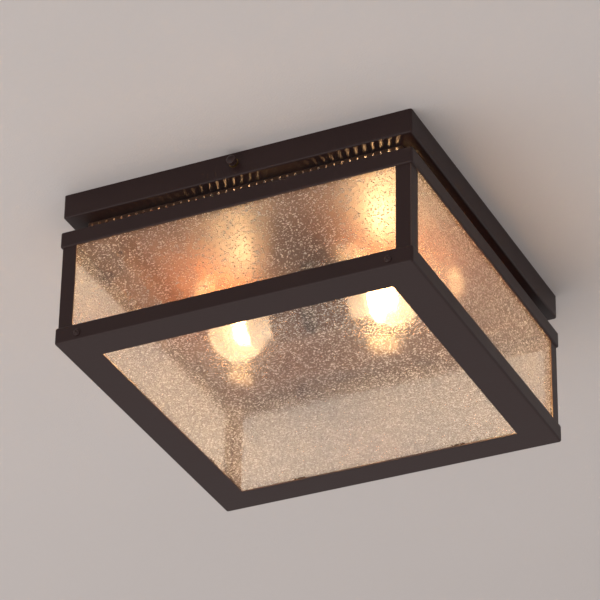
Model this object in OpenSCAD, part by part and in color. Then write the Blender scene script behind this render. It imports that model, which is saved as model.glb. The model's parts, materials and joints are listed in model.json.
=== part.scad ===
// Porch ceiling lantern: a square, flush-mounted lantern of folded bronze sheet and seeded glass.
// The origin is the centre of the crossbar's top face, in the ceiling's plane, and everything hangs
// below it along -Z. The front is -Y, the door's hinges are at the back, and the lamps lie along X.

/* [Body] */
// Width and depth over the door and the top rail
body_w = 381; // [360:1:400]
// Thickness of the folded sheet
sheet_t = 1; // [0.8:0.1:1.2]
// Outside radius of a folded edge, and the step from the rail's face in to the posts
edge_r = 2; // [1.8:0.1:2.2]
// Outside radius of the upright corners
corner_r = 2.5; // [2.4:0.1:3.5]

/* [Canopy] */
// Width and depth of the canopy pan
canopy_w = 379; // [358:1:398]
// Height of the canopy pan, from the ceiling down
canopy_h = 27; // [24:0.5:32]
// Width of the crossbar
crossbar_w = 25; // [22:1:32]
// Thickness of the crossbar
crossbar_t = 2; // [1.6:0.1:2.5]
// Distance between the centres of the two ceiling screw slots
slot_spacing = 79.4; // [76:0.1:90]
// Length of each ceiling screw slot, end to end
slot_length = 15; // [10:0.5:18]
// Width of each ceiling screw slot
slot_w = 4.8; // [4.4:0.1:5.2]
// Radius of the crossbar's centre hole
nipple_hole_r = 5.2; // [5.1:0.1:5.6]

/* [Vent neck] */
// Width and depth of the recessed neck under the canopy
neck_w = 343; // [335:1:350]
// Height of the neck
neck_h = 17; // [14:0.5:22]
// Thickness of the neck's sheet
neck_t = 0.8; // [0.6:0.1:1]
// Number of vent slots on each side
vent_count = 41; // [21:2:41]
// Distance from one vent slot to the next
vent_pitch = 8.3; // [6:0.1:8.3]
// Width of a vent slot
vent_w = 2.4; // [1.8:0.1:3]
// Height of a vent slot
vent_h = 4.4; // [3:0.1:5]
// Depth of the slots' centre line below the canopy
vent_drop = 3.6; // [3.5:0.1:8]

/* [Frame] */
// Height of the top rail
rail_h = 18; // [14:0.5:24]
// Height of the glass that shows between the top rail and the door
glass_view_h = 93.5; // [80:0.5:110]
// Width of each leg of a corner post
post_leg = 16; // [14:0.5:18]
// Width of the opening in the top frame, under the neck
roof_opening_w = 316; // [300:1:318]

/* [Glass] */
// Thickness of the seeded glass
glass_t = 3; // [2.5:0.5:3]
// Width of the window in the bottom of the door
window_w = 310.5; // [290:0.5:320]

/* [Door] */
// Height of the door's side walls
door_h = 18; // [16:0.5:20]
// Height of the rolled-in rim at the top of the door's walls
rim_rise = 1.5; // [1:0.1:1.7]
// Distance of each closing screw from the body's side
door_screw_inset = 25; // [25:0.5:40]
// Height of the closing screws above the bottom of the door
door_screw_up = 8; // [7.8:0.1:8.5]
// Width of each hinge
hinge_w = 14; // [12:0.5:14]
// Radius of the hinge pins
hinge_pin_r = 1.2; // [1:0.1:1.2]
// Thickness of the hinge leaves
leaf_t = 0.8; // [0.8:0.1:0.9]

/* [Lamps] */
// Depth of the lamps' axis below the ceiling
lamp_drop = 78.5; // [76:0.5:90]
// Radius of the bulb's globe
bulb_r = 30; // [25:0.5:30]
// Distance from the lantern's centre to the middle of each globe
bulb_reach = 86.3; // [82:0.1:95]
// Width of the strap that carries the lampholders
strap_w = 40; // [38:1:44]

/* [Hidden] */
$fn = 64;

BRONZE = "#43373a";
SEEDED = "#e8c48a";
BRASS = "#b08d4c";
STEEL = "#b9bcc0";
PORCELAIN = "#e9e4d8";
BLACK = "#232323";
GREEN = "#2f7a3d";
FROSTED = "#fff0d0";

// Levels, from the ceiling down
canopy_z = -canopy_h;
neck_z = canopy_z - neck_h;
rail_z = neck_z - rail_h;
rim_z = rail_z - glass_view_h;
base_z = rim_z - door_h;

// Faces, as distances from the middle of the lantern
body_face = body_w / 2;
canopy_face = canopy_w / 2;
neck_face = neck_w / 2;
post_face = body_face - edge_r;
pane_face = post_face - sheet_t;
pane_back = pane_face - glass_t;

// Posts and bottom rail
post_top_z = neck_z - sheet_t;
post_bottom_z = base_z + 5.5;
post_corner_r = 1.5;
ledge_z = base_z + 13.5;
ledge_w = 10;
pane_air = 1;

// Small fasteners
rivet_r = 1.6;
rivet_hole_r = 1.7;
rivet_spread = 110;
flange_w = 10;
m4_r = 2;
m4_thread_r = 2.05;
m4_clear_r = 2.4;
pan_r = 3.6;
pan_h = 2.4;
nut_r = 4.04;
nut_h = 3.2;
ground_screw_r = 1.9;
ground_screw_y = 17;

// Thumb screws and the crossbar's ears
thumb_z = -12;
ear_air = 0.5;
ear_face = canopy_face - sheet_t - ear_air;
ear_drop = 20;
ear_collar_r = 4;
ear_collar_l = 3;
washer_air = 0.1;
washer_t = 0.8;
washer_r = 5;
washer_hole_r = 2.35;
knob_r = 4.8;

// Closing screws and clamp plates
door_screw_x = body_face - door_screw_inset;
door_screw_z = base_z + door_screw_up;
clamp_w = 12;
clamp_t = 3;
clamp_air = 0.1;

// Hinges
hinge_x = post_face - hinge_w / 2 - 1;
knuckle_air = 0.05;
knuckle_r = hinge_pin_r + knuckle_air + leaf_t + 0.15;
hinge_y = body_face + knuckle_r;
hinge_z = rim_z + 2.5;
knuckle_w = hinge_w / 3;
knuckle_gap = 0.3;
hinge_rivet_r = 1.1;

// Lamps
lamp_z = -lamp_drop;
strap_t = 1.5;
strap_half_gap = 8;
strap_screw_y = 13;
wire_hole_r = 4.2;
lead_hole_r = 4;
holder_r = 19;
holder_floor_z = 12;
holder_mouth_z = 43;
holder_bore_r = 14;
holder_screw_y = 10;
holder_screw_r = 1.5;
shell_r = 13.9;
shell_t = 0.5;
cap_r = 13;
cap_t = 0.4;
cap_z = 16;
cap_rim_z = 40;
bulb_neck_r = 12.5;
bulb_wall = 1;
bulb_shoulder_r = 25;

// ---------------------------------------------------------------- shapes used again and again

module on_four_sides() {
    for (turn = [0:90:270])
        rotate(turn) children();
}

// A square with round corners of radius r
module rounded_square(w, r) {
    square([w - 2 * r, w], center = true);
    square([w, w - 2 * r], center = true);
    for (x = [-1, 1], y = [-1, 1])
        translate([x * (w / 2 - r), y * (w / 2 - r)]) circle(r);
}

// A slot with round ends, w wide and l long, along Y
module slot_2d(w, l) {
    square([w, l - w], center = true);
    for (end = [-1, 1])
        translate([0, end * (l - w) / 2]) circle(w / 2);
}

// A folded edge: a quarter of a ring, from the angle a on
module fold(r, t, a) {
    rotate(a) intersection() {
        difference() {
            circle(r);
            circle(r - t);
        }
        square(r + 1);
    }
}

// Sweeps a profile round a square with round corners. In the profile, x = 0 is the axis of the
// corner's bend, x = corner_r is the outer face, and y is the height.
module swept_square(w) {
    axis = w / 2 - corner_r;
    on_four_sides() translate([axis, axis, 0]) {
        rotate_extrude(angle = 90) children();
        rotate([90, 0, 0]) linear_extrude(2 * axis) children();
    }
}

// A flat sheet ring, from a rounded square's edge in to a square opening
module sheet_ring(w, r, opening, t) {
    linear_extrude(t) difference() {
        rounded_square(w, r);
        square(opening, center = true);
    }
}

// A profile in the Y-Z plane, made l long along X about x = 0
module along_x(l) {
    translate([-l / 2, 0, 0]) rotate([90, 0, 90]) linear_extrude(l) children();
}

// A spherical cap of radius r and height h, standing on z = 0
module dome(r, h) {
    ball_r = (r * r + h * h) / (2 * h);
    rotate_extrude() intersection() {
        translate([0, h - ball_r]) circle(ball_r);
        square([r, h]);
    }
}

// A rivet along Z through a pack of sheets grip thick, head down from z = 0
module rivet(grip) {
    cylinder(r = rivet_r, h = grip);
    mirror([0, 0, 1]) dome(3, 1.6);
    translate([0, 0, grip]) dome(2.6, 1.2);
}

// A pan head with a cross recess, standing on z = 0
module pan_head(r, h) {
    difference() {
        union() {
            cylinder(r = r, h = h * 0.45);
            translate([0, 0, h * 0.45]) dome(r, h * 0.55);
        }
        for (turn = [0, 90])
            rotate(turn) translate([0, 0, h]) cube([r * 1.1, 0.9, h], center = true);
    }
}

// A pan-head screw of shank radius r and length l, its head on z = 0 and its shank below
module pan_screw(r, l, head_r, head_h) {
    pan_head(head_r, head_h);
    translate([0, 0, -l]) cylinder(r = r, h = l);
}

// Places children on the front (side = -1) or the back (side = 1) face, with +Z outwards
module facing(side, x, face, z) {
    translate([x, side * face, z]) rotate([-90 * side, 0, 0]) children();
}

// Places children on the left (side = -1) or the right (side = 1) lamp's axis, with +Z outwards
module on_lamp_axis(side) {
    translate([0, 0, lamp_z]) rotate([0, 90 * side, 0]) children();
}

// ---------------------------------------------------------------- ceiling crossbar

module crossbar() {
    color(STEEL) difference() {
        union() {
            translate([-crossbar_w / 2, 0, 0]) mirror([0, 0, 1]) rotate([90, 0, 90])
                linear_extrude(crossbar_w) crossbar_profile();
            for (side = [-1, 1])
                facing(side, 0, ear_face, thumb_z)
                    translate([0, 0, -crossbar_t - ear_collar_l])
                        cylinder(r = ear_collar_r, h = ear_collar_l);
        }
        for (side = [-1, 1]) {
            translate([0, side * slot_spacing / 2, -crossbar_t - 1])
                linear_extrude(crossbar_t + 2) slot_2d(slot_w, slot_length);
            facing(side, 0, ear_face + 1, thumb_z) translate([0, 0, -10])
                cylinder(r = m4_thread_r, h = 12);
        }
        translate([0, 0, -crossbar_t - 1]) {
            cylinder(r = nipple_hole_r, h = crossbar_t + 2);
            translate([0, ground_screw_y, 0])
                cylinder(r = ground_screw_r + 0.05, h = crossbar_t + 2);
        }
    }
}

// The strip with its two ears, seen from the side, with y as the depth below the ceiling
module crossbar_profile() {
    bend_r = 3;
    flat = ear_face - bend_r;
    translate([-flat, 0]) square([2 * flat, crossbar_t]);
    for (side = [0, 1])
        mirror([side, 0]) {
            translate([flat, bend_r]) fold(bend_r, crossbar_t, -90);
            translate([ear_face - crossbar_t, bend_r])
                square([crossbar_t, ear_drop - bend_r]);
        }
}

module ground_screw() {
    color(GREEN) translate([0, ground_screw_y, -crossbar_t]) rotate([180, 0, 0])
        pan_screw(ground_screw_r, crossbar_t - 0.2, pan_r, pan_h);
}

// ---------------------------------------------------------------- canopy and neck

module canopy() {
    color(BRONZE) difference() {
        union() {
            swept_square(canopy_w) {
                translate([corner_r - edge_r, canopy_z + edge_r]) fold(edge_r, sheet_t, -90);
                translate([corner_r - sheet_t, canopy_z + edge_r])
                    square([sheet_t, canopy_h - edge_r]);
            }
            translate([0, 0, canopy_z]) linear_extrude(sheet_t)
                rounded_square(canopy_w - 2 * edge_r, corner_r - edge_r);
        }
        translate([0, 0, canopy_z - 1]) {
            strap_holes(sheet_t + 2);
            on_four_sides() neck_rivet_places()
                cylinder(r = rivet_hole_r, h = sheet_t + 2);
        }
        for (side = [-1, 1])
            facing(side, 0, canopy_face + 1, thumb_z) translate([0, 0, -4])
                cylinder(r = m4_clear_r, h = 5);
    }
}

// The holes where the lamps' strap meets the canopy: one for the wires and two for its screws
module strap_holes(h) {
    cylinder(r = wire_hole_r, h = h);
    for (side = [-1, 1])
        translate([0, side * strap_screw_y, 0]) cylinder(r = m4_r + 0.1, h = h);
}

// Three rivets along the front of the neck's flange
module neck_rivet_places() {
    for (x = [-rivet_spread, 0, rivet_spread])
        translate([x, -neck_face + neck_t + flange_w / 2, 0]) children();
}

module wire_bushing() {
    grip = sheet_t + strap_t;
    lip_t = 1.2;
    lip_w = 2.6;
    color(BLACK) translate([0, 0, canopy_z - strap_t]) rotate_extrude()
        translate([wire_hole_r - 1.5, 0]) {
            translate([0, -lip_t]) square([1.4, grip + 2 * lip_t]);
            for (y = [-lip_t, grip])
                translate([0, y]) square([lip_w, lip_t]);
        }
}

// A square ring of sheet with a flange at its top and its bottom, and a row of vent slots
module vent_neck() {
    color(BRONZE) difference() {
        union() {
            swept_square(neck_w)
                translate([corner_r - neck_t, neck_z]) square([neck_t, neck_h]);
            for (z = [neck_z, canopy_z - neck_t])
                translate([0, 0, z])
                    sheet_ring(neck_w - neck_t, corner_r - neck_t / 2,
                               neck_w - 2 * (neck_t + flange_w), neck_t);
        }
        on_four_sides() {
            translate([0, -neck_face - 1, canopy_z - vent_drop]) rotate([90, 0, 0])
                mirror([0, 0, 1]) linear_extrude(neck_t + 2) vent_row();
            translate([0, 0, neck_z - 1]) neck_rivet_places()
                cylinder(r = rivet_hole_r, h = neck_h + 2);
        }
    }
}

module vent_row() {
    for (i = [0:vent_count - 1])
        translate([(i - (vent_count - 1) / 2) * vent_pitch, 0]) slot_2d(vent_w, vent_h);
}

module neck_rivets() {
    color(BRONZE) on_four_sides() neck_rivet_places() {
        translate([0, 0, canopy_z - neck_t]) rivet(neck_t + sheet_t);
        translate([0, 0, neck_z + neck_t]) mirror([0, 0, 1]) rivet(neck_t + sheet_t);
    }
}

// ---------------------------------------------------------------- lantern frame

module top_frame() {
    color(BRONZE) difference() {
        union() {
            swept_square(body_w) {
                translate([corner_r - edge_r, neck_z - edge_r]) fold(edge_r, sheet_t, 0);
                translate([corner_r - sheet_t, rail_z + edge_r])
                    square([sheet_t, rail_h - 2 * edge_r]);
                translate([corner_r - edge_r, rail_z + edge_r]) fold(edge_r, sheet_t, -90);
            }
            translate([0, 0, neck_z - sheet_t])
                sheet_ring(body_w - 2 * edge_r, corner_r - edge_r, roof_opening_w, sheet_t);
        }
        on_four_sides() translate([0, 0, neck_z - sheet_t - 1]) neck_rivet_places()
            cylinder(r = rivet_hole_r, h = sheet_t + 2);
    }
}

// An L of sheet with a round outside corner at the origin, its legs along +X and +Y
module angle_2d(leg, t, r) {
    difference() {
        union() {
            translate([r, 0]) square([leg - r, leg]);
            translate([0, r]) square([leg, leg - r]);
            translate([r, r]) circle(r);
        }
        translate([t, t]) square(leg);
    }
}

// turn = 0 is the front left post; each further 90 degrees is the next one to the right
module corner_post(turn) {
    back = turn >= 180;
    side = turn == 90 || turn == 180 ? 1 : -1;
    color(BRONZE) difference() {
        rotate(turn) translate([-post_face, -post_face, post_bottom_z])
            linear_extrude(post_top_z - post_bottom_z)
                angle_2d(post_leg, sheet_t, post_corner_r);
        if (back)
            hinge_rivet_places(side, 1) cylinder(r = hinge_rivet_r + 0.1, h = 20, center = true);
    }
}

// An angle behind the door's walls: the glass stands on its ledge, and two notches in its front
// wall let the closing screws swing down with the door
module bottom_rail() {
    color(BRONZE) difference() {
        union() {
            translate([0, 0, post_bottom_z])
                sheet_ring(2 * pane_face, 0.5, 2 * (pane_face - sheet_t),
                           ledge_z - post_bottom_z);
            translate([0, 0, ledge_z - sheet_t])
                sheet_ring(2 * pane_face - sheet_t, 0.3, 2 * (pane_face - ledge_w), sheet_t);
        }
        for (side = [-1, 1])
            translate([side * door_screw_x, -pane_face, door_screw_z]) rotate([90, 0, 0])
                linear_extrude(3, center = true) {
                    circle(m4_clear_r);
                    translate([-m4_clear_r, -door_screw_up]) square([2 * m4_clear_r, door_screw_up]);
                }
    }
}

// turn = 0 is the front pane. The side panes pass the ends of the front and back ones.
module side_pane(turn) {
    half = turn % 180 == 0 ? pane_back - 0.5 : pane_face - 0.5;
    color(SEEDED, 0.5) rotate(turn) translate([-half, -pane_face, ledge_z])
        cube([2 * half, glass_t, post_top_z - pane_air - ledge_z]);
}

// Spring tabs that press the panes outwards, four to a pane. The lower ones end under the rim,
// out of sight behind the door's wall.
module pane_clips() {
    clip_w = 12;
    clip_t = 0.8;
    tab_h = 10;
    low_tab_h = 4;
    foot = 7;
    color(BRONZE) on_four_sides() for (x = [-100, 100]) translate([x, -pane_back, 0]) {
        translate([-clip_w / 2, 0, ledge_z]) cube([clip_w, clip_t, low_tab_h]);
        translate([-clip_w / 2, 0, ledge_z]) cube([clip_w, foot, clip_t]);
        translate([-clip_w / 2, 0, post_top_z - tab_h - pane_air])
            cube([clip_w, clip_t, tab_h + pane_air]);
        translate([-clip_w / 2, 0, post_top_z - clip_t]) cube([clip_w, foot, clip_t]);
    }
}

// ---------------------------------------------------------------- lamps

// A bent strap: a web riveted under the canopy and two round-ended legs for the lampholders
module lamp_bracket() {
    bend_r = 2.5;
    web_z = canopy_z - strap_t;
    color(BRONZE) difference() {
        intersection() {
            translate([0, strap_w / 2, canopy_z]) rotate([90, 0, 0]) linear_extrude(strap_w) {
                web = strap_half_gap - bend_r;
                translate([-web, -strap_t]) square([2 * web, strap_t]);
                for (side = [0, 1])
                    mirror([side, 0]) {
                        translate([web, -bend_r]) fold(bend_r, strap_t, 0);
                        translate([strap_half_gap - strap_t, -lamp_drop - strap_w])
                            square([strap_t, lamp_drop + strap_w - bend_r]);
                    }
            }
            along_x(4 * strap_half_gap) {
                translate([0, lamp_z]) circle(strap_w / 2);
                translate([-strap_w / 2, lamp_z]) square([strap_w, -lamp_z]);
            }
        }
        translate([0, 0, web_z - 1]) strap_holes(strap_t + 2);
        for (side = [-1, 1])
            on_lamp_axis(side) {
                cylinder(r = lead_hole_r, h = 2 * strap_half_gap);
                for (y = [-holder_screw_y, holder_screw_y])
                    translate([0, y, 0])
                        cylinder(r = holder_screw_r + 0.1, h = 2 * strap_half_gap);
            }
    }
}

module bracket_screws() {
    color(STEEL) for (side = [-1, 1])
        translate([0, side * strap_screw_y, canopy_z - strap_t]) rotate([180, 0, 0])
            pan_screw(m4_r - 0.05, 9, pan_r, pan_h);
}

module bracket_nuts() {
    color(STEEL) for (side = [-1, 1])
        translate([0, side * strap_screw_y, canopy_z + sheet_t]) difference() {
            cylinder(r = nut_r, h = nut_h, $fn = 6);
            translate([0, 0, -1]) cylinder(r = m4_r, h = nut_h + 2);
        }
}

module lampholder(side) {
    color(PORCELAIN) on_lamp_axis(side) difference() {
        rotate_extrude() difference() {
            union() {
                translate([0, strap_half_gap]) square([holder_r - 1, 30]);
                translate([0, strap_half_gap + 1]) square([holder_r, 30]);
                translate([holder_r - 1, strap_half_gap + 1]) circle(1);
                translate([0, holder_mouth_z - 5]) square([holder_r + 1.5, 4]);
                translate([0, holder_mouth_z - 5]) square([holder_r + 0.5, 5]);
                translate([holder_r + 0.5, holder_mouth_z - 1]) circle(1);
            }
            translate([0, holder_floor_z]) square([holder_bore_r, holder_mouth_z]);
        }
        for (y = [-holder_screw_y, holder_screw_y])
            translate([0, y, 0]) cylinder(r = holder_screw_r + 0.05, h = holder_r);
    }
}

module lampholder_screws() {
    color(STEEL) for (side = [-1, 1])
        on_lamp_axis(side) for (y = [-holder_screw_y, holder_screw_y])
            translate([0, y, strap_half_gap - strap_t]) rotate([180, 0, 0])
                pan_screw(holder_screw_r, holder_floor_z - strap_half_gap + strap_t, 2.8, 1.8);
}

module screw_shell(side) {
    color(BRASS) on_lamp_axis(side) rotate_extrude() {
        translate([shell_r - shell_t, holder_floor_z])
            square([shell_t, holder_mouth_z - 2 - holder_floor_z]);
        translate([12.4, holder_floor_z]) square([shell_r - 12.4, shell_t]);
    }
}

module centre_contact(side) {
    color(BRASS) on_lamp_axis(side) translate([0, 0, holder_floor_z]) {
        cylinder(r = 5, h = 0.8);
        translate([0, 0, 0.8]) dome(3, 1);
    }
}

// Half of the bulb's outline, set in by inset, with y along the lamp's axis from the cap's rim
module bulb_outline(inset, foot) {
    globe = bulb_reach - cap_rim_z;
    neck = bulb_neck_r - inset;
    shoulder_x = bulb_neck_r + bulb_shoulder_r;
    reach = bulb_r + bulb_shoulder_r;
    rise = sqrt(reach * reach - shoulder_x * shoulder_x);
    meet = bulb_r / reach;
    intersection() {
        translate([0, globe]) circle(bulb_r - inset);
        translate([0, -100]) square(300);
    }
    difference() {
        polygon([
            [0, foot], [neck, foot], [neck, globe - rise], [shoulder_x, globe - rise],
            [shoulder_x * meet, globe - rise * meet], [0, globe]
        ]);
        translate([shoulder_x, globe - rise]) circle(bulb_shoulder_r + inset);
    }
}

module bulb_glass(side) {
    color(FROSTED, 0.8) on_lamp_axis(side) translate([0, 0, cap_rim_z]) rotate_extrude()
        difference() {
            bulb_outline(0, -5);
            bulb_outline(bulb_wall, -6);
        }
}

module bulb_cap(side) {
    color(STEEL) on_lamp_axis(side) rotate_extrude() polygon([
        [9.2, cap_z], [cap_r, cap_z + 3], [cap_r, cap_rim_z], [cap_r - cap_t, cap_rim_z],
        [cap_r - cap_t, cap_z + 3.3], [8.8, cap_z + 0.4], [8.8, cap_z]
    ]);
}

// The black insulator and the contact button in the end of the cap
module bulb_contact(side) {
    color(BLACK) on_lamp_axis(side) {
        translate([0, 0, cap_z - 0.8]) mirror([0, 0, 1]) dome(4, 1);
        rotate_extrude() polygon([
            [0, cap_z - 0.8], [4.4, cap_z - 0.8], [8.5, cap_z], [8.5, cap_z + 1], [0, cap_z + 1]
        ]);
    }
}

// ---------------------------------------------------------------- door

module door_frame() {
    rim_axis_z = rim_z - rim_rise;
    rim_end = [edge_r * 2, edge_r * 2 * tan(asin(rim_rise / edge_r))];
    color(BRONZE) difference() {
        union() {
            swept_square(body_w) {
                translate([corner_r - edge_r, base_z + edge_r]) fold(edge_r, sheet_t, -90);
                translate([corner_r - sheet_t, base_z + edge_r])
                    square([sheet_t, rim_axis_z - base_z - edge_r]);
                translate([corner_r - edge_r, rim_axis_z]) intersection() {
                    fold(edge_r, sheet_t, 0);
                    polygon([[0, 0], [edge_r * 2, 0], rim_end]);
                }
            }
            translate([0, 0, base_z])
                sheet_ring(body_w - 2 * edge_r, corner_r - edge_r, window_w, sheet_t);
        }
        for (side = [-1, 1]) {
            facing(-1, side * door_screw_x, body_face, door_screw_z)
                cylinder(r = m4_clear_r, h = 6, center = true);
            hinge_rivet_places(side, -1)
                cylinder(r = hinge_rivet_r + 0.1, h = 20, center = true);
        }
    }
}

module door_glass() {
    lap = 8;
    w = window_w + 2 * lap;
    color(SEEDED, 0.5) translate([-w / 2, -w / 2, base_z + sheet_t]) cube([w, w, glass_t]);
}

// Bent tabs that hold the door's glass down on its sheet, two to a side
module door_glass_clips() {
    clip_w = 14;
    clip_t = 0.8;
    edge = window_w / 2 + 8.5;
    color(BRONZE) on_four_sides() for (x = [-90, 90])
        translate([x, 0, base_z + sheet_t]) along_x(clip_w) polygon([
            [-edge - 9, 0], [-edge, 0], [-edge, glass_t], [-edge + 8, glass_t],
            [-edge + 8, glass_t + clip_t], [-edge - clip_t, glass_t + clip_t],
            [-edge - clip_t, clip_t], [-edge - 9, clip_t]
        ]);
}

module door_screw(side) {
    color(STEEL) facing(-1, side * door_screw_x, body_face, door_screw_z)
        pan_screw(m4_r, body_face - pane_back + 4.5, pan_r, pan_h);
}

// A small plate on the closing screw, which pinches the bottom rail against the door's wall
module door_clamp(side) {
    back = pane_face - sheet_t - clamp_air;
    color(STEEL) difference() {
        translate([side * door_screw_x - clamp_w / 2, -back, door_screw_z - 4.2])
            cube([clamp_w, clamp_t, 8.4]);
        facing(-1, side * door_screw_x, back, door_screw_z)
            cylinder(r = m4_thread_r, h = 20, center = true);
    }
}

// ---------------------------------------------------------------- hinges

// The two rivets of a hinge's leaf: above the pin (up = 1) on a post, below it (up = -1) on the
// door. Children are drawn with +Z outwards, on the face that the leaf lies on.
module hinge_rivet_places(side, up) {
    for (rise = up > 0 ? [8, 14] : [-7, -13.5])
        facing(1, side * hinge_x, up > 0 ? post_face : body_face, hinge_z + rise) children();
}

module knuckle(x, w) {
    translate([x, hinge_y, hinge_z]) rotate([0, 90, 0])
        cylinder(r = knuckle_r, h = w, center = true);
}

module pin_bore(side) {
    translate([side * hinge_x, hinge_y, hinge_z]) rotate([0, 90, 0])
        cylinder(r = hinge_pin_r + knuckle_air, h = 2 * hinge_w, center = true);
}

// The leaf on the post, with the middle knuckle on a short offset tongue
module hinge_leaf_frame(side) {
    shoulder = hinge_z + 4;
    middle_w = knuckle_w - knuckle_gap;
    color(BRONZE) difference() {
        translate([side * hinge_x, 0, 0]) {
            along_x(hinge_w) translate([post_face, shoulder]) square([leaf_t, 14]);
            along_x(middle_w) polygon([
                [post_face, shoulder], [post_face + leaf_t, shoulder],
                [body_face + leaf_t, hinge_z + 1.8], [body_face + leaf_t, hinge_z],
                [body_face, hinge_z], [body_face, hinge_z + 1.5],
                [post_face, shoulder - 0.4]
            ]);
            knuckle(0, middle_w);
        }
        pin_bore(side);
        hinge_rivet_places(side, 1) cylinder(r = hinge_rivet_r + 0.1, h = 20, center = true);
    }
}

// The leaf on the door's back wall, with the two outer knuckles
module hinge_leaf_door(side) {
    top = hinge_z - knuckle_r - 0.6;
    outer_w = knuckle_w - knuckle_gap / 2;
    color(BRONZE) difference() {
        translate([side * hinge_x, 0, 0]) {
            along_x(hinge_w) translate([body_face, base_z + 3]) square([leaf_t, top - base_z - 3]);
            for (end = [-1, 1])
                translate([end * (hinge_w - outer_w) / 2, 0, 0]) {
                    along_x(outer_w) translate([body_face, top]) square([leaf_t, hinge_z - top]);
                    knuckle(0, outer_w);
                }
        }
        pin_bore(side);
        hinge_rivet_places(side, -1) cylinder(r = hinge_rivet_r + 0.1, h = 20, center = true);
    }
}

module hinge_pin(side) {
    color(STEEL) translate([side * hinge_x, hinge_y, hinge_z]) rotate([0, 90, 0]) {
        cylinder(r = hinge_pin_r, h = hinge_w + 0.4, center = true);
        for (end = [0, 1])
            mirror([0, 0, end]) translate([0, 0, hinge_w / 2 + 0.2]) dome(1.9, 0.9);
    }
}

module hinge_rivets(up) {
    color(BRONZE) for (side = [-1, 1])
        hinge_rivet_places(side, up) {
            translate([0, 0, -sheet_t]) cylinder(r = hinge_rivet_r, h = sheet_t + leaf_t);
            translate([0, 0, leaf_t]) dome(2, 0.9);
        }
}

// ---------------------------------------------------------------- thumb screws

module thumb_washer(side) {
    color(BRASS) facing(side, 0, canopy_face, thumb_z) translate([0, 0, washer_air])
        difference() {
            cylinder(r = washer_r, h = washer_t);
            translate([0, 0, -1]) cylinder(r = washer_hole_r, h = 4);
        }
}

// A shank, a collar, a fluted grip and a domed end
module thumb_screw(side) {
    seat = washer_air + washer_t;
    grip_h = 5.4;
    flutes = 18;
    color(BRONZE) facing(side, 0, canopy_face, thumb_z) translate([0, 0, seat]) {
        translate([0, 0, -11.5]) cylinder(r = m4_r, h = 11.5);
        cylinder(r = 3.4, h = 1.6);
        translate([0, 0, 1.6]) difference() {
            cylinder(r = knob_r, h = grip_h);
            for (i = [0:flutes - 1])
                rotate(i * 360 / flutes) translate([knob_r + 0.25, 0, -1])
                    cylinder(r = 0.6, h = grip_h + 2, $fn = 24);
        }
        translate([0, 0, 1.6 + grip_h]) dome(knob_r - 0.4, 2.2);
    }
}

crossbar();
ground_screw();
canopy();
wire_bushing();
vent_neck();
neck_rivets();
top_frame();
corner_post(0);  // corner_post_front_left
corner_post(90);  // corner_post_front_right
corner_post(180);  // corner_post_back_right
corner_post(270);  // corner_post_back_left
bottom_rail();
side_pane(0);  // pane_front
side_pane(90);  // pane_right
side_pane(180);  // pane_back
side_pane(270);  // pane_left
pane_clips();
lamp_bracket();
bracket_screws();
bracket_nuts();
lampholder(-1);  // lampholder_left
lampholder(1);  // lampholder_right
lampholder_screws();
screw_shell(-1);  // screw_shell_left
screw_shell(1);  // screw_shell_right
centre_contact(-1);  // centre_contact_left
centre_contact(1);  // centre_contact_right
hinge_leaf_frame(-1);  // hinge_leaf_frame_left
hinge_leaf_frame(1);  // hinge_leaf_frame_right
hinge_rivets(1);  // hinge_rivets_frame
door_frame();
door_glass();
door_glass_clips();
hinge_leaf_door(-1);  // hinge_leaf_door_left
hinge_leaf_door(1);  // hinge_leaf_door_right
hinge_rivets(-1);  // hinge_rivets_door
hinge_pin(-1);  // hinge_pin_left
hinge_pin(1);  // hinge_pin_right
door_screw(-1);  // door_screw_left
door_screw(1);  // door_screw_right
door_clamp(-1);  // door_clamp_left
door_clamp(1);  // door_clamp_right
thumb_washer(-1);  // thumb_washer_front
thumb_screw(-1);  // thumb_screw_front
thumb_washer(1);  // thumb_washer_back
thumb_screw(1);  // thumb_screw_back
bulb_glass(-1);  // bulb_left_glass
bulb_cap(-1);  // bulb_left_cap
bulb_contact(-1);  // bulb_left_contact
bulb_glass(1);  // bulb_right_glass
bulb_cap(1);  // bulb_right_cap
bulb_contact(1);  // bulb_right_contact
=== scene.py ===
# %% [markdown]
# # A square porch lantern under a ceiling
#
# The lantern is a folded bronze box with seeded glass sides, a glazed door for its bottom and two
# bulbs lying back to back. The construction model already holds every folded sheet, screw and
# hinge at its real size, and it comes in as a fixed frame in metres. This lesson dresses it: the
# finish of each metal, the bubbles inside the glass, the threads on the screws, and the light.

# %% Load the frame
import json
import math

import bmesh
import bpy
from mathutils import Matrix, Vector


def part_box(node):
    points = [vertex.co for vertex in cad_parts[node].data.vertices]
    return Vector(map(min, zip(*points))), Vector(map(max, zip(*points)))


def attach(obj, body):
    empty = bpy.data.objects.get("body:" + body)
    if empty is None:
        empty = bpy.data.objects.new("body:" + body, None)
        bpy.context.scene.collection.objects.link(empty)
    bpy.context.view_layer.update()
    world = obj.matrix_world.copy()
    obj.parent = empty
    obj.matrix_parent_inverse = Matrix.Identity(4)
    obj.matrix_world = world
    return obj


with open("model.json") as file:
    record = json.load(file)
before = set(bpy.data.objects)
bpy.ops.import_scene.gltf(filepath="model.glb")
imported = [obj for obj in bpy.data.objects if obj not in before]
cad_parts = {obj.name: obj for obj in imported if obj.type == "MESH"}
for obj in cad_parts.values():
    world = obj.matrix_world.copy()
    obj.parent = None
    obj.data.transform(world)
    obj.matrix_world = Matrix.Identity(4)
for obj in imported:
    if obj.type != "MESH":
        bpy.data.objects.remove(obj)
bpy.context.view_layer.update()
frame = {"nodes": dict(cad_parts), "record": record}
nodes = frame["nodes"]

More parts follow.
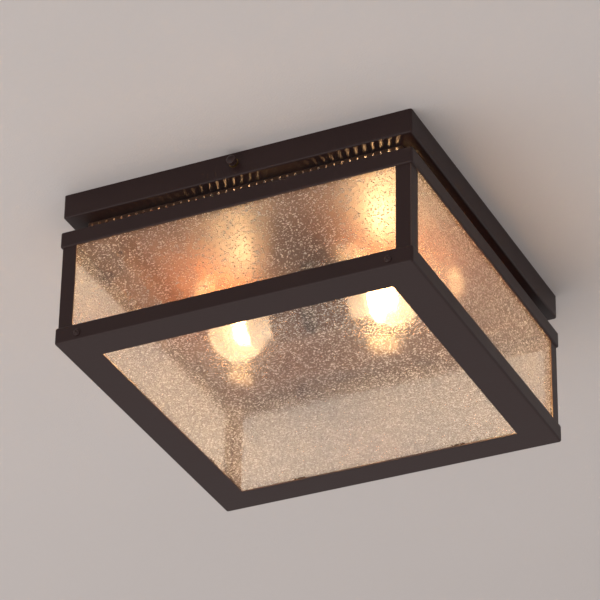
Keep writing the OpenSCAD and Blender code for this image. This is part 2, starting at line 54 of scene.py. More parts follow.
# %% [markdown]
# ## Writing node trees as sums
#
# A finish is a graph of small nodes, which is slow to read when each link takes a line. A wrapper
# round an output socket lets a mask be written as plain arithmetic, such as `1 - spots * 0.4`, and
# one method adds any other node. The same two classes serve materials and Geometry Nodes, because
# both kinds of tree have the same Math node.

# %% A socket that can be added and multiplied
class Signal:
    """One output of a node, written in sums and products as a number is."""

    def __init__(self, graph, socket):
        self.graph, self.socket = graph, socket

    def math(self, operation, *values):
        return self.graph.node("ShaderNodeMath", dict(enumerate(values)), operation=operation)

    def __add__(self, other):
        return self.math("ADD", self, other)

    def __sub__(self, other):
        return self.math("SUBTRACT", self, other)

    def __rsub__(self, other):
        return self.math("SUBTRACT", other, self)

    def __mul__(self, other):
        return self.math("MULTIPLY", self, other)

    def __truediv__(self, other):
        return self.math("DIVIDE", self, other)

    def __pow__(self, other):
        return self.math("POWER", self, other)

    def above(self, other):
        return self.math("GREATER_THAN", self, other)

    def at_least(self, other):
        return self.math("MAXIMUM", self, other)

    __radd__, __rmul__ = __add__, __mul__

    def other(self, name):
        """Another output of the same node."""
        return Signal(self.graph, self.socket.node.outputs[name])


class Graph:
    """A node tree, to which one method adds any node."""

    def __init__(self, tree):
        self.tree = tree

    def node(self, kind, inputs=None, output=0, **settings):
        """Adds a node. Its settings come first, then the values or links of its sockets."""
        made = self.tree.nodes.new(kind)
        for name, value in settings.items():
            setattr(made, name, value)
        for name, value in (inputs or {}).items():
            self.feed(made.inputs[name], value)
        return Signal(self, made.outputs[output]) if len(made.outputs) else made

    def feed(self, socket, value):
        if isinstance(value, Signal):
            self.tree.links.new(value.socket, socket)
        else:
            socket.default_value = value


def noise(graph, place, size, detail=2.0, roughness=0.5):
    """Soft blotches about size metres across."""
    sockets = {"Vector": place, "Scale": 1 / size, "Detail": detail, "Roughness": roughness}
    return graph.node("ShaderNodeTexNoise", sockets, "Fac")


def blend_colours(graph, mask, first, second):
    """The first colour where the mask is 0 and the second where it is 1."""
    sockets = {"Factor": mask, "A": first, "B": second}
    return graph.node("ShaderNodeMix", sockets, "Result", data_type="RGBA")


print("node tree helpers are ready")

# %% [markdown]
# ## A finish from a recipe
#
# Each material is one function that draws its graph and returns the finished shader. `finish`
# clears the new material, hands the function an empty graph and the point being shaded, and wires
# what comes back to the output. Object coordinates are metres in the piece's own frame, so a
# pattern keeps its real scale and stays on its piece when the door swings.

# %% Materials from functions
FINE_RELIEF = 0.00002


def finish(name, recipe):
    material = bpy.data.materials.new(name)
    material.use_nodes = True
    graph = Graph(material.node_tree)
    graph.tree.nodes.clear()
    place = graph.node("ShaderNodeTexCoord", output="Object")
    graph.node("ShaderNodeOutputMaterial", {"Surface": recipe(graph, place)})
    return material


def principled(graph, **sockets):
    """A Principled shader, its sockets given with underscores for spaces."""
    named = {name.replace("_", " "): value for name, value in sockets.items()}
    return graph.node("ShaderNodeBsdfPrincipled", named)


def bump(graph, height, depth=FINE_RELIEF):
    """Relief on a surface, depth metres deep where the height is 1."""
    return graph.node("ShaderNodeBump", {"Height": height, "Distance": depth, "Strength": 1.0})


def mix(graph, mask, first, second):
    """The first shader where the mask is 0 and the second where it is 1."""
    return graph.node("ShaderNodeMixShader", {0: mask, 1: first, 2: second})


def clear_to_shadows(graph, surface, tint):
    """Shadow rays pass this surface straight on and take its tint."""
    clear = graph.node("ShaderNodeBsdfTransparent", {"Color": tint})
    return mix(graph, graph.node("ShaderNodeLightPath", output="Is Shadow Ray"), surface, clear)


def rgb(red, green, blue):
    return (red, green, blue, 1.0)


print("finish() is ready")

# %% [markdown]
# ## The camera
#
# The photograph is taken from below with a long lens, from the front and the right. A box model of
# the lantern's steps was fitted to its corners in the picture, which gave the camera's place, its
# direction and a roll of about a degree. The camera comes first, because every later choice of
# size and gloss is judged through it.

# %% Camera at the photograph's place
CAMERA_PLACE = Vector((1.2342, -2.5989, -1.8261))
CAMERA_AIM = Vector((-0.36985, 0.76826, 0.52247))
CAMERA_ROLL = math.radians(0.9568)
FRAME_PIXELS = 600
FOCAL_PIXELS = 3326.6
SENSOR_WIDTH = 36.0
VIEW_DEPTH = 200.0


def add_object(name, data):
    """A new object in the scene, at the origin, that holds a mesh, a lamp or a camera."""
    made = bpy.data.objects.new(name, data)
    bpy.context.scene.collection.objects.link(made)
    return made


def camera_axes(aim, roll):
    """The camera's own right, up and back directions as the columns of a rotation."""
    right = aim.cross(Vector((0, 0, 1))).normalized()
    up = right.cross(aim)
    turned_right = right * math.cos(roll) + up * math.sin(roll)
    turned_up = up * math.cos(roll) - right * math.sin(roll)
    return Matrix((turned_right, turned_up, -aim)).transposed()


camera_data = bpy.data.cameras.new("camera")
camera_data.sensor_width = SENSOR_WIDTH
camera_data.lens = SENSOR_WIDTH * FOCAL_PIXELS / FRAME_PIXELS
camera_data.clip_end = VIEW_DEPTH
camera = add_object("camera", camera_data)
turned = camera_axes(CAMERA_AIM.normalized(), CAMERA_ROLL)
camera.matrix_world = Matrix.Translation(CAMERA_PLACE) @ turned.to_4x4()
bpy.context.scene.camera = camera
print("lens", round(camera_data.lens, 1), "mm")

# %% [markdown]
# ## The ceiling and the light
#
# The lantern hangs from a painted plaster ceiling, which takes the place of a floor. It is one wide
# ring with a hole under the canopy, so that the canopy's inside stays open to the box above. From
# above it is see-through, so the lantern can be looked at from every side. One large soft lamp
# stands well below at the front left, which throws the faint shadow to the right of the canopy.
# The world fills in the rest. It is pale at the height of the walls and darker towards the floor,
# so that the door's glass, which mirrors the floor, keeps its contrast.

# %% Ceiling ring
CEILING_HALF = 20.0
CEILING_HOLE_HALF = 0.187
PAINT_DARK = rgb(0.567, 0.537, 0.530)
PAINT_LIGHT = rgb(0.598, 0.566, 0.560)


def plaster(graph, place):
    tone = noise(graph, place, 0.35, detail=3)
    paint = blend_colours(graph, tone, PAINT_DARK, PAINT_LIGHT)
    grain = noise(graph, place, 0.0022, detail=3) + noise(graph, place, 0.011, detail=1)
    wall = principled(graph, Base_Color=paint, Roughness=0.85, Specular_IOR_Level=0.25,
                      Normal=bump(graph, grain, 0.00025))
    from_above = graph.node("ShaderNodeNewGeometry", output="Backfacing")
    return mix(graph, from_above, wall, graph.node("ShaderNodeBsdfTransparent"))


def square_ring(name, inner, outer, z):
    """A flat square with a square hole, facing down."""
    corners = [(-1, -1), (1, -1), (1, 1), (-1, 1)]
    points = [(x * half, y * half, z) for half in (inner, outer) for x, y in corners]
    faces = [(i, (i + 1) % 4, 4 + (i + 1) % 4, 4 + i) for i in range(4)]
    mesh = bpy.data.meshes.new(name)
    mesh.from_pydata(points, [], faces)
    return add_object(name, mesh)


ceiling = square_ring("ceiling", CEILING_HOLE_HALF, CEILING_HALF, 0.0)
ceiling.data.materials.append(finish("ceiling_plaster", plaster))
print("ceiling faces", [round(p.normal.z) for p in ceiling.data.polygons])

# %% Key lamp and world
KEY_PLACE = Vector((-0.9, -0.8, -2.5))
KEY_WIDTH = 4.4
KEY_POWER = 66.0
KEY_COLOUR = (1.0, 0.975, 0.96)
WALL_FILL = rgb(0.80, 0.785, 0.785)
FLOOR_FILL = rgb(0.34, 0.30, 0.275)
BACKDROP = rgb(0.52, 0.47, 0.45)
FLOOR_LEVEL = -0.75
WALL_LEVEL = -0.05

key_data = bpy.data.lights.new("key", "AREA")
key_data.size = KEY_WIDTH
key_data.energy = KEY_POWER
key_data.color = KEY_COLOUR
key = add_object("key", key_data)
aimed = (-KEY_PLACE).to_track_quat("-Z", "Y").to_matrix()
key.matrix_world = Matrix.Translation(KEY_PLACE) @ aimed.to_4x4()

world = bpy.data.worlds.new("studio")
world.use_nodes = True
studio = Graph(world.node_tree)
studio.tree.nodes.clear()
ray = studio.node("ShaderNodeLightPath", output="Is Camera Ray")
direction = studio.node("ShaderNodeTexCoord", output="Generated")
height = studio.node("ShaderNodeSeparateXYZ", {"Vector": direction}, "Z")
level = studio.node("ShaderNodeMapRange", {"Value": height, "From Min": FLOOR_LEVEL,
                                           "From Max": WALL_LEVEL})
room = blend_colours(studio, level, FLOOR_FILL, WALL_FILL)
fill = studio.node("ShaderNodeBackground", {"Color": room})
backdrop = studio.node("ShaderNodeBackground", {"Color": BACKDROP})
studio.node("ShaderNodeOutputWorld", {"Surface": mix(studio, ray, fill, backdrop)})
bpy.context.scene.world = world
bpy.context.scene.view_settings.view_transform = "Standard"
print("key lamp", KEY_POWER, "W")

# %% [markdown]
# ## Oil-rubbed bronze
#
# The folded sheets carry a dark brown powder coat with a satin sheen. Up close it isn't one
# colour: the coat gathers in soft blotches, fine orange peel breaks the reflections, and the folded
# edges are a little lighter and smoother, partly where hands and cloths rub and partly as a painted
# highlight of the light that rounded folds catch. A Bevel node finds those edges, because it gives
# the normal that a rounded edge would have, and where that differs from the face's own normal the
# coat is made lighter, as wear and as painted highlight together.

# %% Bronze coat
COAT_DARK = rgb(0.0190, 0.0080, 0.0078)
COAT_LIGHT = rgb(0.0305, 0.0132, 0.0122)
# The edge colour and radius below: partly rubbed wear, partly a painted highlight on the folds.
COAT_WORN_AND_HIGHLIT = rgb(0.170, 0.115, 0.105)
WEAR_AND_HIGHLIGHT_RADIUS = 0.0009
BEVEL_SAMPLES = 4
FLAT_AGREEMENT = 0.97
EDGE_AGREEMENT = 0.80
PEEL_DEPTH = 0.00005


def edge_wear_and_highlight(graph):
    """1 on edges, where the wear and the painted highlight go, and 0 on flat faces."""
    rounded = graph.node("ShaderNodeBevel", {"Radius": WEAR_AND_HIGHLIGHT_RADIUS}, samples=BEVEL_SAMPLES)
    face = graph.node("ShaderNodeNewGeometry", output="Normal")
    agreement = graph.node("ShaderNodeVectorMath", {0: rounded, 1: face}, "Value",
                           operation="DOT_PRODUCT")
    return graph.node("ShaderNodeMapRange", {"Value": agreement, "From Min": FLAT_AGREEMENT,
                                             "From Max": EDGE_AGREEMENT})


def coated(graph, place, dark, light, gloss=0.28, satin=0.36, index=1.5):
    """Two browns with blotches and orange peel; edges lighter from wear and a painted highlight."""
    blotches = noise(graph, place, 0.045, detail=4, roughness=0.6)
    specks = noise(graph, place, 0.0016, detail=2)
    coat = blend_colours(graph, blotches * 0.7 + specks * 0.3, dark, light)
    # Edges are lightened as rubbed wear and as a painted highlight together.
    worn_and_highlit = edge_wear_and_highlight(graph) * (0.35 + 0.5 * noise(graph, place, 0.007, detail=3))
    peel = noise(graph, place, 0.0011, detail=1) + 0.6 * noise(graph, place, 0.004, detail=1)
    return principled(graph, Base_Color=blend_colours(graph, worn_and_highlit, coat, COAT_WORN_AND_HIGHLIT),
                      Roughness=satin + 0.14 * blotches - 0.08 * worn_and_highlit,
                      Specular_IOR_Level=gloss, IOR=index,
                      Normal=bump(graph, peel, PEEL_DEPTH))


def bronze(graph, place):
    return coated(graph, place, COAT_DARK, COAT_LIGHT)


BRONZE = finish("oil_rubbed_bronze", bronze)
print("bronze is ready")

# %% [markdown]
# ## The lamplit inside
#
# Inside the roof the coat is given lighter orange browns and a stronger gloss: painted lamplight,
# which stands in for the glow the lamps throw on the inside faces. The canopy, the neck and the top
# frame are bent from one sheet each, with an outside in the dark coat and an inside in the lamplit
# one. A mask tells them apart by place. The painted lamplight goes on what lies nearer to the
# middle than a sheet's outer wall, above the top rail, and on the canopy only its underside. Each
# limit runs through the thickness of a sheet, so its two faces fall on two sides.

# %% Inside coat, with painted lamplight
# Lighter orange browns: painted lamplight, the lamps' glow laid into the inside coat's colour.
PAINTED_LAMPLIT_DARK = rgb(0.060, 0.020, 0.005)
PAINTED_LAMPLIT_LIGHT = rgb(0.115, 0.043, 0.011)
NECK_HALF = 0.1712
BODY_HALF = 0.1882
ROOF_FLOOR_Z = -0.0612
SHEET_THICKNESS = 0.001
CANOPY_MIDDLE_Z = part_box("canopy")[0].z + SHEET_THICKNESS / 2
BELOW_ALL = -1.0
ABOVE_ALL = 1.0


def painted_lamplight_inside(half, floor_z=BELOW_ALL, roof_z=ABOVE_ALL):
    """A recipe with painted lamplight nearer the middle than half and between two heights."""
    def recipe(graph, place):
        axes = graph.node("ShaderNodeSeparateXYZ", {"Vector": place}, "X")
        across, along = axes.math("ABSOLUTE", axes), axes.math("ABSOLUTE", axes.other("Y"))
        outside = across.at_least(along).above(half)
        too_high = axes.other("Z").above(roof_z)
        inside = (1 - outside) * (1 - too_high) * axes.other("Z").above(floor_z)
        outer_coat = coated(graph, place, COAT_DARK, COAT_LIGHT)
        # The inside coat paints in the lamps' glow: lighter browns and a stronger gloss.
        lamplit_coat = coated(graph, place, PAINTED_LAMPLIT_DARK, PAINTED_LAMPLIT_LIGHT, gloss=1.0, satin=0.26,
                            index=1.72)
        return mix(graph, inside, outer_coat, lamplit_coat)
    return recipe


# These sheets carry painted lamplight on their inside faces.
BRONZE_CANOPY_LAMPLIT = finish("oil_rubbed_bronze_canopy_painted_lamplight", painted_lamplight_inside(NECK_HALF, roof_z=CANOPY_MIDDLE_Z))
BRONZE_ROOF_LAMPLIT = finish("oil_rubbed_bronze_roof_painted_lamplight", painted_lamplight_inside(BODY_HALF, ROOF_FLOOR_Z))
BRONZE_POST_LAMPLIT = finish("oil_rubbed_bronze_post_painted_lamplight", painted_lamplight_inside(BODY_HALF))
print("inside coat is ready")

# %% [markdown]
# ## Seeded glass
#
# Seeded glass is rolled with its bubbles left in. Three things make its look: a clear warm body,
# shallow pits and long ripples from the roller, and the bubbles themselves, which glitter when a
# lamp is near them. Pits and ripples are relief in the material, and the bubbles are real small
# shapes, made in a later step. A bubble's wall throws light about, so from a distance it reads as a
# pale speck. A matte pale shell gives that look without the noise of a hollow that bends light. A
# very small share of rough glass lays a soft haze round the lamps, a little more of it in the door,
# which is seen more squarely. Light that only passes through on its way to a surface goes straight
# on, which keeps the shadows inside clean.

# %% Glass body
GLASS_TINT = rgb(0.935, 0.918, 0.868)
SHADOW_TINT = rgb(0.88, 0.86, 0.81)
BUBBLE_DARK = rgb(0.78, 0.78, 0.78)
BUBBLE_LIGHT = rgb(0.82, 0.82, 0.82)
GLASS_IOR = 1.5
RELIEF_DEPTH = 0.001
SHARP_ROUGHNESS = 0.015
SIDE_HAZE = 0.004
DOOR_HAZE = 0.012
HAZE_ROUGHNESS = 0.2


def pits(graph, place, size, share):
    """Round dimples in a random share of cells about size metres wide."""
    cells = graph.node("ShaderNodeTexVoronoi", {"Vector": place, "Scale": 1 / size}, "Distance")
    lot = graph.node("ShaderNodeSeparateColor", {"Color": cells.other("Color")})
    reach = 0.16 + 0.20 * lot.other("Green")
    bowl = (1 - cells / reach).at_least(0.0)
    return bowl * lot.above(1 - share)


def seeded_glass(haze):
    """A recipe for seeded glass, haze is the share of its surface that is rough."""
    def recipe(graph, place):
        ripples = noise(graph, place, 0.022, detail=1)
        grain = noise(graph, place, 0.0014, detail=2)
        large_pits = pits(graph, place, size=0.0015, share=0.9)
        small_pits = pits(graph, place, size=0.0011, share=0.6)
        relief = 0.12 * ripples + 0.03 * grain - 0.15 * large_pits - 0.08 * small_pits
        looks = {"Base_Color": GLASS_TINT, "IOR": GLASS_IOR, "Transmission_Weight": 1.0,
                 "Normal": bump(graph, relief, RELIEF_DEPTH)}
        sharp = principled(graph, Roughness=SHARP_ROUGHNESS, **looks)
        soft = principled(graph, Roughness=HAZE_ROUGHNESS, **looks)
        return clear_to_shadows(graph, mix(graph, haze, sharp, soft), SHADOW_TINT)
    return recipe


def bubble_wall(graph, place):
    tone = blend_colours(graph, noise(graph, place, 0.004), BUBBLE_DARK, BUBBLE_LIGHT)
    return principled(graph, Base_Color=tone, Roughness=1.0, Specular_IOR_Level=0.0)


SEEDED = finish("seeded_glass", seeded_glass(SIDE_HAZE))
SEEDED_DOOR = finish("seeded_glass_door", seeded_glass(DOOR_HAZE))
BUBBLE = finish("bubble_in_glass", bubble_wall)
print("glass is ready")

# %% [markdown]
# ## Lit bulbs
#
# Each bulb has a white housing up to the globe's shoulder, which keeps its light off the middle of
# the roof, then a frosted dome, and inside the dome a small milky cover over its light diodes. The
# housing carries a faint orange painted glow. The cover gives nearly all the light, and the dome is
# rough glass that glows a little by itself, so the bulb shows as a white core that fades to cream.
# Shadow rays pass the dome, so the cover lights the roof directly and the picture stays free of
# noise.

# %% Frosted globe
DOME_COLOUR = rgb(1.0, 0.72, 0.44)
DOME_GLOW = 6.0
DOME_SHADOW_TINT = rgb(0.97, 0.96, 0.94)
FROST_SHARE = 0.035
# A faint orange glow painted on the bulb's white housing.
HOUSING_PAINTED_GLOW_COLOUR = rgb(1.0, 0.66, 0.34)
HOUSING_PAINTED_GLOW = 0.55
SHOULDER_X = 0.0676


def middle(node):
    """The centre of a node's box."""
    low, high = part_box(node)
    return (low + high) / 2


def frosted_globe(graph, place):
    etch = noise(graph, place, 0.0008, detail=2)
    side = graph.node("ShaderNodeSeparateXYZ", {"Vector": place}, "X")
    along = side.math("ABSOLUTE", side)
    frost = principled(graph, Base_Color=rgb(1.0, 0.97, 0.92), Roughness=0.5 + 0.1 * etch,
                       IOR=1.45, Transmission_Weight=1.0, Emission_Color=DOME_COLOUR,
                       Emission_Strength=DOME_GLOW, Normal=bump(graph, etch))
    glass = principled(graph, Base_Color=rgb(1.0, 0.98, 0.94), Roughness=0.12 + 0.05 * etch,
                       IOR=1.12, Transmission_Weight=1.0)
    dome = clear_to_shadows(graph, mix(graph, FROST_SHARE, glass, frost), DOME_SHADOW_TINT)
    white = blend_colours(graph, etch, rgb(0.80, 0.77, 0.72), rgb(0.86, 0.84, 0.79))
    # The white housing also gets a faint painted glow.
    housing = principled(graph, Base_Color=white, Roughness=0.38 + 0.1 * etch,
                         Emission_Color=HOUSING_PAINTED_GLOW_COLOUR, Emission_Strength=HOUSING_PAINTED_GLOW,
                         Normal=bump(graph, etch))
    return mix(graph, along.above(SHOULDER_X), housing, dome)


BULB_CENTRE = middle("bulb_right_glass")
FROSTED = finish("frosted_globe", frosted_globe)
print("globe's middle at", [round(value * 1000, 1) for value in BULB_CENTRE], "mm")


# %% Milky cover
LAMP_COLOUR_WARM = rgb(1.0, 0.55, 0.24)
LAMP_COLOUR_PALE = rgb(1.0, 0.60, 0.29)
COVER_STRENGTH = 330.0
COVER_SIDES = 32
MERGE_DISTANCE = 1e-7
COVER_PROFILE = [
    (0.0, -0.0186), (0.0090, -0.0186), (0.0100, -0.0176), (0.0100, -0.0150), (0.0128, -0.0128),
    (0.0136, -0.0090), (0.0138, -0.0030), (0.0134, 0.0030), (0.0120, 0.0080), (0.0096, 0.0114),
    (0.0064, 0.0135), (0.0030, 0.0146), (0.0, 0.0149),
]


def white_heat(graph, place):
    haze = noise(graph, place, 0.004, detail=1)
    heat = blend_colours(graph, haze, LAMP_COLOUR_WARM, LAMP_COLOUR_PALE)
    return principled(graph, Base_Color=rgb(0.9, 0.88, 0.84), Roughness=0.2,
                      Emission_Color=heat, Emission_Strength=COVER_STRENGTH)


def close_mesh(mesh):
    """Merges a mesh's doubled points, turns its faces outwards and shades them smooth."""
    work = bmesh.new()
    work.from_mesh(mesh)
    bmesh.ops.remove_doubles(work, verts=work.verts, dist=MERGE_DISTANCE)
    bmesh.ops.recalc_face_normals(work, faces=work.faces)
    for face in work.faces:
        face.smooth = True
    work.to_mesh(mesh)
    work.free()


def lathe(name, profile, sides, centre, side):
    """A closed shape turned round the lamp's axis. side is 1 to the right and -1 to the left."""
    points, faces, rows = [], [], len(profile)
    for step in range(sides):
        angle = math.tau * step / sides
        points += [(centre.x + side * along, centre.y + radius * math.cos(angle),
                    centre.z + radius * math.sin(angle)) for radius, along in profile]
    for step in range(sides):
        first, second = step * rows, (step + 1) % sides * rows
        faces += [(first + row, first + row + 1, second + row + 1, second + row)
                  for row in range(rows - 1)]
    mesh = bpy.data.meshes.new(name)
    mesh.from_pydata(points, [], faces)
    close_mesh(mesh)
    return add_object(name, mesh)


WHITE_HEAT = finish("milky_cover", white_heat)
for side, word in ((-1, "left"), (1, "right")):
    centre = Vector((BULB_CENTRE.x * side, BULB_CENTRE.y, BULB_CENTRE.z))
    cover = lathe(f"bulb_{word}_cover", COVER_PROFILE, COVER_SIDES, centre, side)
    cover.data.materials.append(WHITE_HEAT)
    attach(cover, f"bulb_{word}")
    print(cover.name, len(cover.data.polygons), "faces")

# %% [markdown]
# ## The small metals, the porcelain and the nylon
#
# Zinc plate is a pale, slightly mottled metal, and brass a warm one that darkens in patches. The
# lampholders' porcelain has a brown glaze, glossy with faint waves, and the nylon is a plain black
# moulding. Each gets its own grain, because the lamps shine on all of them from close by.

# %% Metals
def zinc(graph, place):
    patches = noise(graph, place, 0.006, detail=3)
    colour = blend_colours(graph, patches, rgb(0.42, 0.43, 0.44), rgb(0.62, 0.61, 0.58))
    return principled(graph, Base_Color=colour, Metallic=1.0, Roughness=0.28 + 0.2 * patches,
                      Normal=bump(graph, noise(graph, place, 0.0006, detail=2)))


def brass(graph, place):
    tarnish = noise(graph, place, 0.005, detail=4)
    colour = blend_colours(graph, tarnish, rgb(0.62, 0.42, 0.16), rgb(0.40, 0.25, 0.09))
    return principled(graph, Base_Color=colour, Metallic=1.0, Roughness=0.22 + 0.25 * tarnish,
                      Normal=bump(graph, noise(graph, place, 0.0008, detail=2)))


def green_dye(graph, place):
    patches = noise(graph, place, 0.002, detail=3)
    colour = blend_colours(graph, patches, rgb(0.02, 0.16, 0.05), rgb(0.05, 0.28, 0.09))
    return principled(graph, Base_Color=colour, Metallic=0.6, Roughness=0.3 + 0.15 * patches,
                      Normal=bump(graph, patches))


ZINC = finish("zinc_plate", zinc)
BRASS = finish("tarnished_brass", brass)
GREEN = finish("green_dye", green_dye)
print("metals are ready")


# %% Porcelain and nylon
GLAZE_DEPTH = 0.00012
MOULDING_DEPTH = 0.00004


def porcelain(graph, place):
    glaze = noise(graph, place, 0.012, detail=3)
    colour = blend_colours(graph, glaze, rgb(0.090, 0.036, 0.016), rgb(0.150, 0.064, 0.028))
    return principled(graph, Base_Color=colour, Roughness=0.22 + 0.10 * glaze,
                      Normal=bump(graph, glaze, GLAZE_DEPTH))


def nylon(graph, place):
    grain = noise(graph, place, 0.0007, detail=2)
    colour = blend_colours(graph, grain, rgb(0.010, 0.010, 0.011), rgb(0.022, 0.021, 0.020))
    return principled(graph, Base_Color=colour, Roughness=0.5 + 0.15 * grain,
                      Normal=bump(graph, grain, MOULDING_DEPTH))


PORCELAIN = finish("glazed_porcelain", porcelain)
NYLON = finish("black_nylon", nylon)
print("porcelain and nylon are ready")

# %% [markdown]
# ## Dressing the frame
#
# Every node of the construction model names the slot that its finish comes from, so one table from
# slot to material gives each its finish. The sheets with painted lamplight on their inside and the
# door's glass then get their own variant. The shapes stay as they are.

# %% Slots to finishes
FINISHES = {
    "bronze": BRONZE, "seeded_glass": SEEDED, "frosted_glass": FROSTED, "zinc_steel": ZINC,
    "green_screw": GREEN, "brass": BRASS, "porcelain": PORCELAIN, "black_nylon": NYLON,
}
slot_of = {part["node"]: part["material_slot"] for part in frame["record"]["subparts"]}
finish_of = {name: FINISHES[slot] for name, slot in slot_of.items()}
finish_of.update({name: BRONZE_ROOF_LAMPLIT for name in ("vent_neck", "top_frame", "lamp_bracket")})
finish_of.update({name: BRONZE_POST_LAMPLIT for name in nodes if name.startswith("corner_post")})
finish_of.update({"canopy": BRONZE_CANOPY_LAMPLIT, "door_glass": SEEDED_DOOR})
for name, slot in slot_of.items():
    materials = nodes[name].data.materials
    for index in range(len(materials)):
        materials[index] = finish_of[name]
print(len(slot_of), "nodes dressed")

# %% [markdown]
# ## Trees for Geometry Nodes
#
# Bubbles and threads repeat by the hundred, so each is a small tree of Geometry Nodes with named
# inputs for its sizes. `grow` puts the tree on an empty object, sets the inputs by their
# identifiers, and turns the result into a plain mesh, with no modifier left on the piece. A
# primitive from a node can bring an empty material slot, so the mesh's slots are cleared before
# it gets its one material.

# %% Growing a mesh from a tree
SOCKET_KINDS = {float: "NodeSocketFloat", int: "NodeSocketInt", tuple: "NodeSocketVector"}


def new_tree(name, defaults):
    """A geometry tree with one named input for each default, and its group input's signals."""
    tree = bpy.data.node_groups.new(name, "GeometryNodeTree")
    for title, value in defaults.items():
        kind = SOCKET_KINDS[type(value)]
        socket = tree.interface.new_socket(title, in_out="INPUT", socket_type=kind)
        socket.default_value = value
    tree.interface.new_socket("Geometry", in_out="OUTPUT", socket_type="NodeSocketGeometry")
    graph = Graph(tree)
    source = graph.node("NodeGroupInput")
    return graph, {title: source.other(title) for title in defaults}


def close_tree(graph, shape):
    """Ends a tree with real geometry in place of instances, shaded smooth."""
    real = graph.node("GeometryNodeRealizeInstances", {"Geometry": shape})
    smooth = graph.node("GeometryNodeSetShadeSmooth", {"Geometry": real})
    graph.node("NodeGroupOutput", {"Geometry": smooth})
    return graph.tree


def grow(name, tree, values, material):
    """An object of the plain mesh that a tree makes from its input values, in one material."""
    holder = add_object(name, bpy.data.meshes.new(name))
    modifier = holder.modifiers.new(name, "NODES")
    modifier.node_group = tree
    for item in tree.interface.items_tree:
        if item.item_type == "SOCKET" and item.in_out == "INPUT" and item.name in values:
            modifier[item.identifier] = values[item.name]
    depsgraph = bpy.context.evaluated_depsgraph_get()
    mesh = bpy.data.meshes.new_from_object(holder.evaluated_get(depsgraph))
    bpy.data.objects.remove(holder)
    mesh.materials.clear()
    mesh.materials.append(material)
    mesh.polygons.foreach_set("material_index", [0] * len(mesh.polygons))
    return add_object(name, mesh)


print("grow() is ready")

# %% [markdown]
# ## Bubbles in the panes
#
# The seeds are air, from a pinprick to about a millimetre, and the roller draws each out along the
# sheet. The tree scatters points in a slab a little thinner than the glass, puts a small ball on
# each, and scales it. Most are tiny, because the random number is raised to a power. A ball of
# eight faces is enough at this size.

# %% Seed tree
SMALL_SEED_BIAS = 1.6


def seed_tree():
    defaults = {"Low": (0.0, 0.0, 0.0), "High": (1.0, 1.0, 1.0), "Count": 10, "Seed": 1,
                "Smallest": 0.0002, "Largest": 0.0008, "Stretch": (1.0, 1.0, 1.0)}
    graph, given = new_tree("glass_seeds", defaults)
    slab = {0: given["Low"], 1: given["High"], "Seed": given["Seed"]}
    where = graph.node("FunctionNodeRandomValue", slab, data_type="FLOAT_VECTOR")
    points = graph.node("GeometryNodePoints", {"Count": given["Count"], "Position": where})
    chance = {2: 0.0, 3: 1.0, "Seed": given["Seed"] + 1}
    luck = graph.node("FunctionNodeRandomValue", chance, 1, data_type="FLOAT")
    spread = (given["Largest"] - given["Smallest"]) * luck ** SMALL_SEED_BIAS
    size = given["Smallest"] + spread
    scale = graph.node("ShaderNodeVectorMath", {0: given["Stretch"], "Scale": size},
                       operation="SCALE")
    ball = graph.node("GeometryNodeMeshUVSphere", {"Radius": 1.0, "Segments": 4, "Rings": 2})
    seeds = graph.node("GeometryNodeInstanceOnPoints", {"Points": points, "Instance": ball,
                                                        "Scale": scale})
    return close_tree(graph, seeds)


SEEDS = seed_tree()
print("seed tree has", len(SEEDS.nodes), "nodes")

# %% Seeds in each sheet of glass
SEEDS_PER_SQUARE_METRE = 190000
SMALLEST_SEED = 0.00026
LARGEST_SEED = 0.00080
SEED_SKIN = 0.0003
LENGTHENED = 1.5
FLATTENED = 0.8
FIRST_RANDOM_SEED = 20
PANES = ("pane_front", "pane_right", "pane_back", "pane_left", "door_glass")


def seeds_in(node, seed):
    """The seed tree's inputs for one sheet of glass, with its slab, number and stretch."""
    low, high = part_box(node)
    size = high - low
    thin = min(range(3), key=lambda axis: size[axis])
    wide = max(range(3), key=lambda axis: size[axis])
    margin = Vector((LARGEST_SEED * 2,) * 3)
    margin[thin] = LARGEST_SEED + SEED_SKIN
    stretch = [1.0, 1.0, 1.0]
    stretch[wide] = LENGTHENED
    stretch[thin] = FLATTENED
    area = size[wide] * sorted(size)[1]
    return {"Low": tuple(low + margin), "High": tuple(high - margin), "Seed": seed,
            "Count": int(area * SEEDS_PER_SQUARE_METRE), "Smallest": SMALLEST_SEED,
            "Largest": LARGEST_SEED, "Stretch": tuple(stretch)}


for index, pane in enumerate(PANES):
    seeds = grow(f"{pane}_seeds", SEEDS, seeds_in(pane, FIRST_RANDOM_SEED + index), BUBBLE)
    seeds.visible_shadow = False
    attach(seeds, "door" if pane == "door_glass" else "lantern")
    print(seeds.name, len(seeds.data.polygons), "faces")

# %% [markdown]
# ## Threads
#
# A screw's thread is a ridge that climbs its shank at a steady pitch. One tree makes every thread
# here: a spiral curve, a small circle swept along it, and a turn and a shift that lay it on its
# screw. Only the top of the ridge stands out of the shank, so its sides meet the metal cleanly.
# The spiral node winds to the left, so it is reversed to give the usual right-hand thread. The
# threads show when a screw is undone or a bulb is turned out of its holder.

# %% Thread tree
STEPS_PER_TURN = 28
WIRE_SIDES = 8


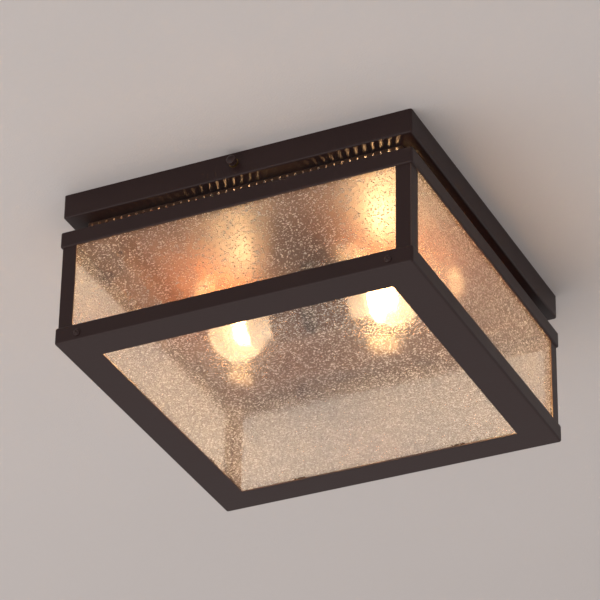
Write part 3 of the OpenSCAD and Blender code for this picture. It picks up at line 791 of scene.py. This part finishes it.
def thread_tree():
    defaults = {"Radius": 0.0124, "Pitch": 0.0036, "Turns": 5.0, "Wire": 0.0009,
                "Place": (0.0, 0.0, 0.0), "Turn": (0.0, 0.0, 0.0)}
    graph, given = new_tree("screw_thread", defaults)
    helix = graph.node("GeometryNodeCurveSpiral", {
        "Resolution": STEPS_PER_TURN, "Rotations": given["Turns"], "Reverse": True,
        "Start Radius": given["Radius"], "End Radius": given["Radius"],
        "Height": given["Pitch"] * given["Turns"]})
    wire = graph.node("GeometryNodeCurvePrimitiveCircle", {"Resolution": WIRE_SIDES,
                                                           "Radius": given["Wire"]})
    ridge = graph.node("GeometryNodeCurveToMesh", {"Curve": helix, "Profile Curve": wire,
                                                   "Fill Caps": True})
    placed = graph.node("GeometryNodeTransform", {"Geometry": ridge, "Translation": given["Place"],
                                                  "Rotation": given["Turn"]})
    return close_tree(graph, placed)


THREAD = thread_tree()
TOWARDS = {"-x": (0.0, -math.pi / 2, 0.0), "+x": (0.0, math.pi / 2, 0.0),
           "+y": (-math.pi / 2, 0.0, 0.0), "-y": (math.pi / 2, 0.0, 0.0)}
print("thread tree has", len(THREAD.nodes), "nodes")


# %% A thread on each screw and bulb cap
CAP_THREAD = {"Radius": 0.01245, "Pitch": 0.003629, "Turns": 4.8, "Wire": 0.00085}
DOOR_THREAD = {"Radius": 0.00195, "Pitch": 0.0007, "Turns": 11.0, "Wire": 0.00022}
THUMB_THREAD = {"Radius": 0.00195, "Pitch": 0.0008, "Turns": 12.0, "Wire": 0.00022}
CAP_THREAD_X = 0.0190
DOOR_THREAD_Y = -0.1883
THUMB_THREAD_Y = 0.1890


def add_thread(body, node, start, towards, sizes):
    """A thread that starts at a point and climbs in a direction, in its node's finish."""
    values = {"Place": start, "Turn": TOWARDS[towards]} | sizes
    thread = grow(f"{body}_thread", THREAD, values, FINISHES[slot_of[node]])
    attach(thread, body)
    print(thread.name, len(thread.data.polygons), "faces")


for word, sign, towards in (("left", -1, "-x"), ("right", 1, "+x")):
    bulb, cap, screw = f"bulb_{word}", f"bulb_{word}_cap", f"door_screw_{word}"
    start = (sign * CAP_THREAD_X, middle(cap).y, middle(cap).z)
    add_thread(bulb, cap, start, towards, CAP_THREAD)
    start = (middle(screw).x, DOOR_THREAD_Y, middle(screw).z)
    add_thread(screw, screw, start, "+y", DOOR_THREAD)
for word, sign, towards in (("front", -1, "+y"), ("back", 1, "-y")):
    screw = f"thumb_screw_{word}"
    start = (middle(screw).x, sign * THUMB_THREAD_Y, middle(screw).z)
    add_thread(screw, screw, start, towards, THUMB_THREAD)
